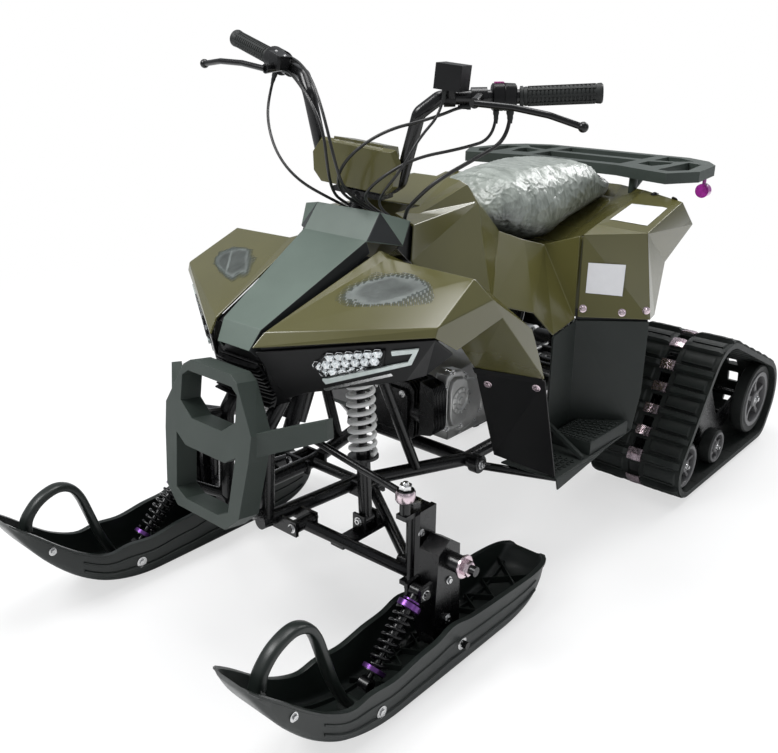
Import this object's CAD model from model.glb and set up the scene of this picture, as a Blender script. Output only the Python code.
import math
import bmesh
import bpy
from mathutils import Matrix, Vector, noise


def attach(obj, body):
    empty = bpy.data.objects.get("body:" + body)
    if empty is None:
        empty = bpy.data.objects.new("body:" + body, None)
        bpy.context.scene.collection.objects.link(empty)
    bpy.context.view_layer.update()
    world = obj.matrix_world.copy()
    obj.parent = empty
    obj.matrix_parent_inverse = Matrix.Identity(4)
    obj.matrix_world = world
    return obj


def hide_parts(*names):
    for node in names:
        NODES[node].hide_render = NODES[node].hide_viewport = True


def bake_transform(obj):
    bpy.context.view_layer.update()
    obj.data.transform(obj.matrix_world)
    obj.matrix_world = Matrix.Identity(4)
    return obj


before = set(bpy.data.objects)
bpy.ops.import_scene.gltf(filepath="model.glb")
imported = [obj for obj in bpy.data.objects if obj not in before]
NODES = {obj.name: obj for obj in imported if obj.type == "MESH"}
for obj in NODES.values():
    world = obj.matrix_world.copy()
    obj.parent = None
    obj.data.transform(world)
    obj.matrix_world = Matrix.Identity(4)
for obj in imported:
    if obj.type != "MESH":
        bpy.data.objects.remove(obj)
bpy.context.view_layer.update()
scene = bpy.context.scene
UP = Vector((0, 0, 1))
AHEAD = Vector((0, -1, 0))
LEFT = Vector((1, 0, 0))
SIDES = {"left": 1, "right": -1}
WHITE = (1, 1, 1, 1)


class Nodes:
    """Builds one node tree."""

    def __init__(self, owner, clear=False):
        owner.use_nodes = True
        self.tree = owner.node_tree
        if clear:
            self.tree.nodes.clear()

    def add(self, kind, operation=None, /, **inputs):
        """A new node, with inputs set by name: a plain value, or an output socket to link."""
        node = self.tree.nodes.new("ShaderNode" + kind)
        if operation:
            node.operation = operation
        self.fill(node, **inputs)
        return node

    def fill(self, node, **inputs):
        for name, value in inputs.items():
            self.set(node, name.replace("_", " "), value)

    def set(self, node, name, value):
        """Sets or links one input, given by its name or number."""
        if isinstance(value, bpy.types.NodeSocket):
            self.tree.links.new(value, node.inputs[name])
        else:
            node.inputs[name].default_value = value

    def mix(self, share, first, second, output):
        """Mixes two shaders into the tree's output."""
        mix = self.add("MixShader")
        for number, socket in enumerate((share, first, second)):
            self.set(mix, number, socket)
        self.set(self.add(output), 0, mix.outputs[0])

    def ramp(self, source, *stops):
        """A colour ramp's output; each stop is a position, or None for its own, and a colour."""
        node = self.add("ValToRGB")
        for element, (position, colour) in zip(node.color_ramp.elements, stops):
            if position is not None:
                element.position = position
            element.color = (*colour[:3], 1)
        self.set(node, 0, source)
        return node.outputs[0]

    def clouds(self, place, size, detail, roughness):
        """The factor of a noise texture."""
        noisy = self.add("TexNoise", Vector=place, Scale=size, Detail=detail, Roughness=roughness)
        return noisy.outputs["Fac"]

    def relief(self, shader, height, strength, distance):
        bump = self.add("Bump", Height=height, Strength=strength, Distance=distance)
        self.set(shader, "Normal", bump.outputs[0])


# ---- camera, floor and light ----


CAMERA_PLACE = (1.0442, -1.4180, 0.9562)
CAMERA_TURN = (40.888, 20.877, 0.640)  # azimuth, elevation and roll in degrees
CAMERA_LENS = 41.73
SENSOR_WIDTH = 36
LIGHT_AIM = Vector((0, 0, 0.35))
FLOOR_REACH = 60
FLOOR_DROP = 0.0006  # keeps the floor just under the skis and tracks


def make_camera():
    azimuth, elevation, roll = (math.radians(a) for a in CAMERA_TURN)
    back = Vector((math.sin(azimuth) * math.cos(elevation),
                   -math.cos(azimuth) * math.cos(elevation), math.sin(elevation)))
    right = Vector((math.cos(azimuth), math.sin(azimuth), 0))
    up = back.cross(right)
    turned_right = right * math.cos(roll) + up * math.sin(roll)
    turned_up = up * math.cos(roll) - right * math.sin(roll)
    camera = bpy.data.objects.new("camera", bpy.data.cameras.new("camera"))
    scene.collection.objects.link(camera)
    camera.data.lens = CAMERA_LENS
    camera.data.sensor_width = SENSOR_WIDTH
    camera.data.clip_end = 200
    rotation = Matrix((turned_right, turned_up, back)).transposed()
    camera.matrix_world = Matrix.Translation(CAMERA_PLACE) @ rotation.to_4x4()
    scene.camera = camera


def area_light(name, place, size, power):
    light = bpy.data.lights.new(name, "AREA")
    light.shape = "DISK"
    light.size = size
    light.energy = power
    lamp = bpy.data.objects.new(name, light)
    scene.collection.objects.link(lamp)
    lamp.location = place
    lamp.rotation_mode = "QUATERNION"
    lamp.rotation_quaternion = (Vector(place) - LIGHT_AIM).to_track_quat("Z", "Y")


def make_studio():
    area_light("key", (-1.4, -2.4, 3.3), 1.6, 100)
    area_light("side", (3.6, -0.9, 1.7), 1.6, 7)
    area_light("back", (0.4, 3.2, 3.0), 1.8, 70)
    area_light("top", (-0.3, 0.2, 4.2), 2.4, 90)
    world = bpy.data.worlds.new("studio")
    scene.world = world
    nodes = Nodes(world, clear=True)
    path = nodes.add("LightPath")
    seen = nodes.add("Math", "MAXIMUM")
    nodes.set(seen, 0, path.outputs["Is Camera Ray"])
    nodes.set(seen, 1, path.outputs["Is Transmission Ray"])
    fill = nodes.add("Background", Color=(0.93, 0.96, 1.0, 1), Strength=0.40)
    white = nodes.add("Background", Color=WHITE, Strength=1.0)
    nodes.mix(seen.outputs[0], fill.outputs[0], white.outputs[0], "OutputWorld")
    scene.view_settings.view_transform = "Standard"


def make_floor():
    mesh = bpy.data.meshes.new("floor")
    corners = [(x * FLOOR_REACH, y * FLOOR_REACH, 0) for x, y in ((-1, -1), (1, -1), (1, 1), (-1, 1))]
    mesh.from_pydata(corners, [], [(0, 1, 2, 3)])
    floor = bpy.data.objects.new("floor", mesh)
    scene.collection.objects.link(floor)
    floor.location.z = -FLOOR_DROP
    material = bpy.data.materials.new("floor")
    nodes = Nodes(material, clear=True)
    length = nodes.add("VectorMath", "LENGTH")
    nodes.set(length, 0, nodes.add("TexCoord").outputs["Object"])
    fade = nodes.add("MapRange", Value=length.outputs["Value"], From_Min=0.6, From_Max=2.6, To_Min=0.62)
    seen = nodes.add("Math", "MULTIPLY")
    nodes.set(seen, 0, nodes.add("LightPath").outputs["Is Camera Ray"])
    nodes.set(seen, 1, fade.outputs[0])
    matt = nodes.add("BsdfDiffuse", Color=(0.90, 0.90, 0.90, 1))
    glow = nodes.add("Emission", Strength=1.0)
    nodes.mix(seen.outputs[0], matt.outputs[0], glow.outputs[0], "OutputMaterial")
    mesh.materials.append(material)


make_camera()
make_studio()
make_floor()


# ---- materials ----


GLOSS_SPREAD = 0.08
DARKER = 0.72  # the second colour's share of the first, where none is given
GRAIN_HEIGHT = 0.0006


def material(name, colour, rough, *, second=None, patch=9.0, metal=0.0, coat=0.0, coat_rough=0.08,
             specular=0.5, grain=900.0, bump=0.08):
    """A finish whose colour and gloss drift slowly and whose surface carries a fine grain."""
    made = bpy.data.materials.new(name)
    nodes = Nodes(made)
    shader = nodes.tree.nodes["Principled BSDF"]
    nodes.fill(shader, Metallic=metal, Coat_Weight=coat, Coat_Roughness=coat_rough,
               Specular_IOR_Level=specular)
    place = nodes.add("TexCoord").outputs["Object"]
    second = second or tuple(c * DARKER for c in colour)
    drift = nodes.clouds(place, patch, 4, 0.55)
    nodes.set(shader, "Base Color", nodes.ramp(drift, (0.32, second), (0.62, colour)))
    gloss = nodes.add("MapRange", Value=nodes.clouds(place, patch * 5, 5, 0.6),
                      To_Min=max(0.02, rough - GLOSS_SPREAD), To_Max=min(1.0, rough + GLOSS_SPREAD))
    nodes.set(shader, "Roughness", gloss.outputs[0])
    nodes.relief(shader, nodes.clouds(place, grain, 2, 0.5), bump, GRAIN_HEIGHT)
    return made


OLIVE = (0.092, 0.086, 0.026)
M = {
    "olive": material("olive_gloss_plastic", OLIVE, 0.22, second=(0.078, 0.072, 0.021), patch=3.5, coat=0.35,
                      coat_rough=0.10, grain=260, bump=0.03),
    "hood": material("grey_green_matt_plastic", (0.105, 0.140, 0.118), 0.46, second=(0.080, 0.108, 0.090),
                     patch=5, grain=1500, bump=0.22),
    "trim": material("dark_green_matt_plastic", (0.040, 0.052, 0.045), 0.48, second=(0.033, 0.043, 0.037),
                     patch=6, grain=1500, bump=0.25, specular=0.4),
    "well": material("footwell_plastic", (0.017, 0.021, 0.019), 0.50, second=(0.013, 0.017, 0.015), patch=6,
                     grain=1500, bump=0.25, specular=0.35),
    "navy": material("navy_side_plastic", (0.016, 0.018, 0.019), 0.45, patch=8, grain=1500, bump=0.2,
                     specular=0.35),
    "black": material("black_plastic", (0.0045, 0.0045, 0.005), 0.40, patch=8, grain=1300, bump=0.18,
                      specular=0.3),
    "frame": material("black_powder_coat", (0.0035, 0.0035, 0.004), 0.26, patch=12, coat=0.15, coat_rough=0.2,
                      grain=1800, bump=0.15, specular=0.35),
    "cast": material("cast_aluminium", (0.50, 0.50, 0.49), 0.40, metal=0.9, patch=14, grain=700, bump=0.3),
    "zinc": material("pinkish_zinc_plate", (0.72, 0.60, 0.64), 0.26, second=(0.58, 0.46, 0.52), metal=1.0,
                     patch=60, grain=900, bump=0.08),
    "steel": material("bright_steel", (0.72, 0.72, 0.72), 0.24, metal=1.0, patch=60, grain=900, bump=0.06),
    "white": material("white_powder_coat", (0.78, 0.78, 0.77), 0.34, second=(0.70, 0.70, 0.69), patch=25,
                      grain=1200, bump=0.1),
    "purple": material("purple_anodised", (0.16, 0.06, 0.26), 0.30, metal=0.8, patch=40, grain=900,
                       bump=0.05),
    "grey_wheel": material("grey_wheel_plastic", (0.125, 0.123, 0.126), 0.40, patch=18, grain=1200,
                           bump=0.15),
    "track": material("moulded_track_rubber", (0.013, 0.017, 0.015), 0.55, second=(0.007, 0.009, 0.008),
                      patch=22, grain=520, bump=0.4, specular=0.4),
    "rubber": material("black_rubber", (0.016, 0.018, 0.017), 0.55, patch=22, grain=700, bump=0.3,
                       specular=0.35),
    "cable": material("black_cable_jacket", (0.012, 0.012, 0.012), 0.36, patch=30, grain=900, bump=0.06),
    "ski": material("black_polyethylene", (0.013, 0.017, 0.015), 0.34, second=(0.009, 0.012, 0.011), patch=10,
                    grain=800, bump=0.16, specular=0.4),
    "magenta": material("magenta_reflector", (0.42, 0.03, 0.36), 0.18, second=(0.30, 0.02, 0.26), patch=160,
                        coat=1.0, grain=420, bump=0.5),
    "exhaust": material("dull_exhaust_steel", (0.24, 0.22, 0.21), 0.42, second=(0.16, 0.13, 0.12), metal=0.9,
                        patch=14, grain=700, bump=0.15),
    "chrome": material("lamp_reflector", (0.86, 0.87, 0.88), 0.10, metal=1.0, patch=90, grain=300, bump=0.12),
    "strip": material("light_strip", (0.62, 0.68, 0.66), 0.22, second=(0.54, 0.60, 0.58), patch=120, coat=0.8,
                      grain=300, bump=0.1),
    "label": material("blank_label", (0.74, 0.74, 0.76), 0.38, second=(0.70, 0.70, 0.72), patch=30, grain=900,
                      bump=0.04),
    "label_grey": material("grey_print_dots", (0.17, 0.19, 0.18), 0.45, patch=40, grain=900, bump=0.05),
    "red": material("red_switch_cap", (0.34, 0.03, 0.20), 0.3, patch=90, grain=900, bump=0.05),
}


def lens_material():
    made = bpy.data.materials.new("clear_lens")
    nodes = Nodes(made)
    shader = nodes.tree.nodes["Principled BSDF"]
    nodes.fill(shader, Roughness=0.04, Transmission_Weight=1.0, IOR=1.2)
    place = nodes.add("TexCoord").outputs["Object"]
    flutes = nodes.add("TexWave", Vector=place, Scale=60, Distortion=1.5).outputs["Fac"]
    nodes.set(shader, "Base Color", nodes.ramp(flutes, (None, (0.90, 0.93, 0.94)), (None, WHITE)))
    nodes.relief(shader, flutes, 0.12, 0.0005)
    return made


def film_material():
    """Pale seat vinyl seen through its clear wrapping film."""
    made = bpy.data.materials.new("seat_vinyl_under_film")
    nodes = Nodes(made)
    shader = nodes.tree.nodes["Principled BSDF"]
    nodes.fill(shader, Coat_Weight=0.5, Coat_Roughness=0.30)
    place = nodes.add("TexCoord").outputs["Object"]

    def clouds(size, detail, rough, stretch=(1, 1, 1)):
        turn = nodes.add("Mapping", Vector=place, Scale=stretch, Rotation=(0.2, 0.1, 0.5))
        return nodes.clouds(turn.outputs[0], size, detail, rough)

    top = nodes.ramp(clouds(26, 6, 0.68, (1, 3.2, 1)), (0.30, (0.13, 0.15, 0.13)), (0.66, (0.34, 0.37, 0.34)))
    low = nodes.ramp(clouds(60, 5, 0.7, (1, 1, 3.5)), (0.42, (0.040, 0.042, 0.042)),
                     (0.74, (0.26, 0.28, 0.27)))
    share = nodes.add("Attribute")
    share.attribute_name = "low"
    mix = nodes.add("Mix")
    mix.data_type = "RGBA"
    nodes.fill(mix, Factor=share.outputs["Fac"], A=top, B=low)
    nodes.set(shader, "Base Color", mix.outputs["Result"])
    gloss = nodes.add("MapRange", Value=clouds(70, 4, 0.6), To_Min=0.20, To_Max=0.48)
    nodes.set(shader, "Roughness", gloss.outputs[0])
    nodes.relief(shader, clouds(58, 6, 0.66, (1, 3.0, 1)), 0.55, 0.0016)
    return made


M["lens"] = lens_material()
M["film"] = film_material()

NODE_FINISH = {
    "frame": "frame", "engine": "cast", "engine_cover": "cast", "hood": "hood", "grille": "black",
    "front_bumper": "trim", "headlight_panels": "black", "headlights": "lens", "splash_guards": "black",
    "body_cover": "olive", "rear_fender": "olive", "seat": "film", "cargo_rack": "trim",
    "rear_reflectors": "magenta", "lower_arms": "frame", "front_shocks": "frame", "front_springs": "white",
    "track_wheels": "grey_wheel", "track_frames": "frame", "rear_axle": "steel", "swingarm": "frame",
    "rear_shock": "frame", "muffler": "exhaust", "control_cables": "cable", "handlebar": "frame",
    "handlebar_grips": "rubber", "steering_stem": "frame", "bar_cover": "olive", "control_box": "black",
    "left_switch_housing": "black", "throttle_housing": "black",
}
SIDE_FINISH = {
    "front_fender": "olive", "footwell": "well", "track": "track", "brake_lever": "frame", "spindle": "frame",
    "ski": "ski", "ski_loop": "frame", "ski_shock": "frame", "tie_rod": "frame",
}
MOULDED = {"hood": 2.2, "body_cover": 2.6, "rear_fender": 2.6, "front_fender": 2.4, "footwell": 2.0,
           "front_bumper": 5.5, "cargo_rack": 2.2, "headlight_panels": 1.4, "splash_guards": 0.8,
           "bar_cover": 2.5, "control_box": 1.8, "grille": 0.8, "ski": 1.4, "engine": 3.0,
           "engine_cover": 2.5}  # width of the eased edges in mm


WELD_REACH = 0.00002
EASED_ANGLE = 24
HOOD_SIDE_LEAN = 0.45


def dress_cad_nodes():
    for name, node in NODES.items():
        plain = name.removeprefix("left_").removeprefix("right_")
        finish = NODE_FINISH.get(name) or SIDE_FINISH[plain]
        node.data.materials.clear()
        node.data.materials.append(M[finish])
        width = MOULDED.get(plain)
        if width:
            weld = node.modifiers.new("weld", "WELD")
            weld.merge_threshold = WELD_REACH
            edge = node.modifiers.new("moulded_edges", "BEVEL")
            edge.width = width / 1000
            edge.segments = 3
            edge.limit_method = "ANGLE"
            edge.angle_limit = math.radians(EASED_ANGLE)
            edge.harden_normals = True


def darken_hood_sides():
    """The hood's side faces are dark, as a second moulding."""
    mesh = NODES["hood"].data
    mesh.materials.append(M["navy"])
    for face in mesh.polygons:
        face.material_index = 1 if abs(face.normal.x) > max(HOOD_SIDE_LEAN, face.normal.z) else 0


dress_cad_nodes()
darken_hood_sides()


# ---- mesh building ----


def mm(*point):
    return Vector(point) / 1000


def frame_of(direction, hint=UP):
    """Two unit vectors square to a direction and to each other."""
    direction = direction.normalized()
    if abs(direction.dot(hint)) > 0.95:
        hint = AHEAD
    across = direction.cross(hint).normalized()
    return across, across.cross(direction).normalized()


def around(sides):
    """Angles evenly spaced round a circle."""
    return [2 * math.pi * i / sides for i in range(sides)]


def spoke(turn):
    """A unit vector in the side view, at an angle from the rear."""
    return Vector((0, math.cos(turn), math.sin(turn)))


def squared(value, power):
    """A signed power, which squares off a circle's sines."""
    return math.copysign(abs(value) ** power, value)


class Bag:
    """Gathers the vertices and faces of one piece, in metres."""

    def __init__(self):
        self.points = []
        self.faces = []

    def add(self, points, faces):
        start = len(self.points)
        self.points += [tuple(p) for p in points]
        self.faces += [tuple(i + start for i in face) for face in faces]

    def loft(self, rings, closed=False):
        """Skins rings that have the same number of points, with end caps unless it closes on itself."""
        size = len(rings[0])
        points = [p for ring in rings for p in ring]
        faces = []
        rows = len(rings) if closed else len(rings) - 1
        for row in range(rows):
            low, high = row * size, (row + 1) % len(rings) * size
            for i in range(size):
                j = (i + 1) % size
                faces.append((low + i, low + j, high + j, high + i))
        if not closed:
            faces.append(tuple(reversed(range(size))))
            last = (len(rings) - 1) * size
            faces.append(tuple(range(last, last + size)))
        self.add(points, faces)

    def lathe(self, place, direction, profile, sides=24, closed=False):
        """Turns (radius, height) pairs about a direction through a place."""
        across, along = frame_of(direction)
        direction = direction.normalized()
        rings = []
        for radius, height in profile:
            centre = place + direction * height
            rings.append([centre + (across * math.cos(a) + along * math.sin(a)) * radius
                          for a in around(sides)])
        self.loft(rings, closed=closed)

    def box(self, centre, x, y, z):
        """A block given by its centre and three half-edge vectors."""
        self.slab([centre - x - y, centre + x - y, centre + x + y, centre - x + y], z, -1, 1)

    def slab(self, outline, step, low=0.0, high=1.0):
        """A slab between two copies of an outline, moved by shares of a step."""
        self.loft([[p + step * share for p in outline] for share in (low, high)])

    def bolt(self, place, direction, size, height):
        """A hexagon head on a flange, with a crowned top; size is the hexagon's radius. All in mm."""
        size, height = size / 1000, height / 1000
        direction = direction.normalized()
        flange = size * 1.35
        self.lathe(place, direction, [(flange, 0), (flange, height * 0.22), (flange * 0.94, height * 0.32),
                                      (size * 0.9, height * 0.36)], 20)
        self.lathe(place, direction, [(size, height * 0.3), (size, height * 0.9), (size * 0.88, height),
                                      (size * 0.5, height), (size * 0.42, height * 0.9)], 6)

    def collar(self, place, direction, outer, inner, height):
        """A ring with eased outer edges, in metres."""
        profile = [(outer - 0.002, 0), (outer, 0.0008), (outer, height - 0.0008), (outer - 0.002, height),
                   (inner, height), (inner, 0)]
        self.lathe(place, direction, profile, 36, closed=True)

    def made(self, name, finish, body, slot, smooth=38, bevel=0.0):
        mesh = bpy.data.meshes.new(name)
        mesh.from_pydata(self.points, [], self.faces)
        mesh.validate()
        work = bmesh.new()
        work.from_mesh(mesh)
        bmesh.ops.recalc_face_normals(work, faces=work.faces)
        work.to_mesh(mesh)
        work.free()
        piece = bpy.data.objects.new(name, mesh)
        scene.collection.objects.link(piece)
        mesh.materials.append(M[finish])
        mesh.shade_smooth()
        mesh.set_sharp_from_angle(angle=math.radians(smooth))
        if bevel:
            edge = piece.modifiers.new("edges", "BEVEL")
            edge.width = bevel / 1000
            edge.segments = 2
            edge.limit_method = "ANGLE"
            edge.angle_limit = math.radians(30)
        if body:
            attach(piece, body)
        return piece


def mirrored(point):
    return Vector((-point.x, point.y, point.z))


def rib_slice(place, across, foot, crown, rise):
    """The slice of a rib that stands on a floor: half widths of its foot and crown, and its rise."""
    return [place + across * foot - UP * 0.001, place + across * crown + UP * rise,
            place - across * crown + UP * rise, place - across * foot - UP * 0.001]


def hit(node, start, direction):
    """Where a ray meets a CAD node, with the normal there, or the start itself."""
    into = NODES[node].matrix_world.inverted()
    local = (into.to_3x3() @ direction).normalized()
    found, place, normal, _ = NODES[node].ray_cast(into @ start, local)
    if not found:
        return start, -direction.normalized()
    place = NODES[node].matrix_world @ place
    normal = (NODES[node].matrix_world.to_3x3() @ normal).normalized()
    if normal.dot(direction) > 0:
        normal = -normal
    return place, normal


# ---- tracks ----

# y, z and radius of the wheels that the belt runs round, in its order
TRACK_WHEELS = ((0.350, 0.076, 0.054), (0.765, 0.062, 0.040), (0.742, 0.118, 0.088), (0.492, 0.226, 0.088))
TRACK_OUTER = 0.389
TRACK_INNER = 0.177
BELT_THICK = 0.010
LUG_TOP = 0.0215
BELT_RIM = 0.010  # width of the thicker strip along each edge
WINDOWS = (0.092, 0.118)  # where the drive windows begin and end, from the inner edge
CLIPS = (0.088, 0.122)  # the same for the metal clips
LUG_SPANS = ((0.003, 0.088), (0.122, 0.209))
LUG_STEPS = 10


def belt_runs():
    """The straight runs between neighbouring wheels: start, end and the normal's angle."""
    runs = []
    for i, (y0, z0, r0) in enumerate(TRACK_WHEELS):
        y1, z1, r1 = TRACK_WHEELS[(i + 1) % len(TRACK_WHEELS)]
        gap = math.hypot(y1 - y0, z1 - z0)
        angle = math.atan2(z1 - z0, y1 - y0) - math.pi / 2 + math.asin((r0 - r1) / gap)
        turn = Vector((math.cos(angle), math.sin(angle)))
        runs.append((Vector((y0, z0)) + turn * r0, Vector((y1, z1)) + turn * r1, angle))
    return runs


def belt_path():
    """Pieces of the belt's inner line: length and a function from distance to place and normal."""
    runs = belt_runs()
    pieces = []
    for i, (start, end, angle) in enumerate(runs):
        next_angle = runs[(i + 1) % len(runs)][2]
        y, z, radius = TRACK_WHEELS[(i + 1) % len(TRACK_WHEELS)]
        sweep = (next_angle - angle) % (2 * math.pi)

        def straight(s, start=start, end=end, angle=angle):
            share = s / (end - start).length
            return start.lerp(end, share), angle

        def round_wheel(s, y=y, z=z, radius=radius, angle=angle):
            at = angle + s / radius
            return Vector((y + radius * math.cos(at), z + radius * math.sin(at))), at

        pieces.append(((end - start).length, straight))
        pieces.append((radius * sweep, round_wheel))
    return pieces


BELT_PIECES = belt_path()
BELT_LENGTH = sum(length for length, _ in BELT_PIECES)
LUG_COUNT = 26
PITCH = BELT_LENGTH / LUG_COUNT


def on_belt(s, height, x):
    """A point at a distance along the belt, a height above its inner face and a place across."""
    s = s % BELT_LENGTH
    for length, place in BELT_PIECES:
        if s <= length:
            at, angle = place(s)
            return Vector((x, at.x + height * math.cos(angle), at.y + height * math.sin(angle)))
        s -= length
    return on_belt(0, height, x)


def ridge(s, foot, crown, low, high, x):
    """The slice of a ridge across the belt: half widths and heights of its foot and crown."""
    return [on_belt(s + step, height, x)
            for step, height in ((-foot, low), (-crown, high), (crown, high), (foot, low))]


def make_track(side):
    sign = SIDES[side]
    xs = [TRACK_INNER, TRACK_INNER + BELT_RIM, TRACK_INNER + WINDOWS[0], TRACK_INNER + WINDOWS[1],
          TRACK_OUTER - BELT_RIM, TRACK_OUTER]
    steps = 6
    stations = [(k + f) * PITCH for k in range(LUG_COUNT) for f in (0, 0.16, 0.32, 0.5, 0.7, 0.84)]
    belt = Bag()
    rows = len(stations)
    grid = {}
    points = []
    for r, s in enumerate(stations):
        for c, x in enumerate(xs):
            for layer, height in enumerate((0.0, BELT_THICK if 0 < c < len(xs) - 1 else BELT_THICK + 0.002)):
                grid[r, c, layer] = len(points)
                points.append(on_belt(s, height, sign * x))
    faces = []

    def is_window(r, c):
        return c == 2 and r % steps in (2, 3, 4)

    for r in range(rows):
        n = (r + 1) % rows
        for c in range(len(xs) - 1):
            if is_window(r, c):
                continue
            for layer in (0, 1):
                faces.append((grid[r, c, layer], grid[r, c + 1, layer], grid[n, c + 1, layer],
                              grid[n, c, layer]))
        for c in (0, len(xs) - 1):
            faces.append((grid[r, c, 0], grid[n, c, 0], grid[n, c, 1], grid[r, c, 1]))
        if is_window(r, 2):
            for c in (2, 3):
                faces.append((grid[r, c, 0], grid[n, c, 0], grid[n, c, 1], grid[r, c, 1]))
        if is_window(r, 2) != is_window(r - 1, 2):
            faces.append((grid[r, 2, 0], grid[r, 3, 0], grid[r, 3, 1], grid[r, 2, 1]))
    belt.add(points, faces)
    seed = 3 if side == "left" else 7
    for k in range(LUG_COUNT):
        centre = k * PITCH
        for low, high in LUG_SPANS:
            rings = []
            for i in range(LUG_STEPS + 1):
                x = TRACK_INNER + low + (high - low) * i / LUG_STEPS
                ragged = noise.noise(Vector((k * 3.1 + seed, x * 190, 0.5)))
                foot, crown = 0.0085, 0.0048
                top = LUG_TOP - 0.0012 + 0.0010 * ragged
                lean = 0.0012 * noise.noise(Vector((k * 1.7, x * 260, seed)))
                edge = 0.0045 if i in (0, LUG_STEPS) else 0.0
                rings.append([
                    on_belt(centre - foot, BELT_THICK - 0.001, sign * x),
                    on_belt(centre - crown + lean, top - edge, sign * x),
                    on_belt(centre + crown + lean, top - edge, sign * x),
                    on_belt(centre + foot, BELT_THICK - 0.001, sign * x),
                ])
            belt.loft(rings)
            pad_low, pad_high = TRACK_INNER + low + 0.006, TRACK_INNER + high - 0.006
            rings = []
            for i in range(5):
                s = centre + 0.013 + (PITCH - 0.026) * i / 4
                lift = 0.0026 if 0 < i < 4 else 0.0
                rings.append([on_belt(s, BELT_THICK - 0.001, sign * pad_low),
                              on_belt(s, BELT_THICK + 0.0012 + lift, sign * (pad_low + 0.004)),
                              on_belt(s, BELT_THICK + 0.0012 + lift, sign * (pad_high - 0.004)),
                              on_belt(s, BELT_THICK - 0.001, sign * pad_high)])
            belt.loft(rings)
            rib = centre + PITCH * 0.70
            belt.loft([ridge(rib, 0.0022, 0.0012, BELT_THICK, BELT_THICK + 0.0052, sign * x)
                       for x in (pad_low + 0.003, pad_high - 0.003)])
        belt.loft([ridge(centre, 0.004, 0.0022, 0.0005, -0.0008, sign * x)
                   for x in (TRACK_INNER + 0.006, TRACK_INNER + 0.206)])
    piece = belt.made(f"{side}_track_belt", "track", "root", "track_rubber", smooth=30)
    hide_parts(f"{side}_track")
    clips = Bag()
    for k in range(LUG_COUNT):
        for share in (0.10, 0.90):
            s = (k + share) * PITCH
            low, high = (TRACK_INNER + place for place in CLIPS)
            half = 0.0062
            rings = []
            for x, lift in ((low, 0.0), (low + 0.0015, 0.0045), (low + 0.010, 0.0065), (high - 0.010, 0.0065),
                            (high - 0.0015, 0.0045), (high, 0.0)):
                base = BELT_THICK + lift
                rings.append(ridge(s, half, half * 0.8, base - 0.0006, base + 0.0016, sign * x))
            clips.loft(rings)
    clips.made(f"{side}_track_clips", "zinc", "root", "zinc", smooth=40)


# ---- track wheels ----

# y, z and radius of the spoked wheels
ROAD_WHEELS = ((0.350, 0.076, 0.053), (0.520, 0.064, 0.041), (0.742, 0.118, 0.087))


def spoked_wheel(rim, tyre, metal, centre, radius, outward):
    """A five-spoke wheel with a rubber tread, seen from its outer face."""
    half = 0.015
    band = max(0.006, radius * 0.13)
    tread = 0.0045 if radius < 0.06 else 0.017
    tyre.lathe(centre - outward * half, outward,
               [(radius - 0.004, 0), (radius - 0.0006, 0.003), (radius, 0.008), (radius, 2 * half - 0.008),
                (radius - 0.0006, 2 * half - 0.003), (radius - 0.004, 2 * half),
                (radius - tread - 0.004, 2 * half - 0.001), (radius - tread - 0.004, 0.001)], 56, closed=True)
    edge = radius - tread
    rim.lathe(centre - outward * (half - 0.001), outward,
              [(edge, 0), (edge, 2 * half - 0.001), (edge - 0.0015, 2 * half + 0.0008),
               (edge - band, 2 * half), (edge - band - 0.002, 2 * half - 0.004),
               (edge - band - 0.002, 0.003), (edge - band, 0)], 56, closed=True)
    hub = max(0.014, radius * 0.24)
    rim.lathe(centre - outward * half, outward,
              [(hub, 0.004), (hub, 2 * half - 0.003), (hub * 0.86, 2 * half), (hub * 0.5, 2 * half),
               (hub * 0.5, 0.004)], 32, closed=True)
    across, along = frame_of(outward)
    inner, outer = hub * 0.85, edge - band * 0.7
    for i in range(5):
        turn = 2 * math.pi * i / 5 + 0.3
        ray = across * math.cos(turn) + along * math.sin(turn)
        side = outward.cross(ray)
        rings = []
        for reach, width, top in ((inner, 0.30, 0.004), (inner + (outer - inner) * 0.45, 0.17, 0.0055),
                                  (outer, 0.26, 0.003)):
            width = width * hub * 1.5
            place = centre + ray * reach
            rings.append([place - side * width - outward * (half - 0.007),
                          place - side * width * 0.8 + outward * (half - top),
                          place + side * width * 0.8 + outward * (half - top),
                          place + side * width - outward * (half - 0.007)])
        rim.loft(rings)
    metal.lathe(centre + outward * (half - 0.004), outward,
                [(hub * 0.48, 0), (hub * 0.48, 0.004), (hub * 0.40, 0.006), (hub * 0.2, 0.0065)], 24)
    metal.bolt(centre + outward * (half + 0.002), outward, size=hub * 300, height=5)


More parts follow.
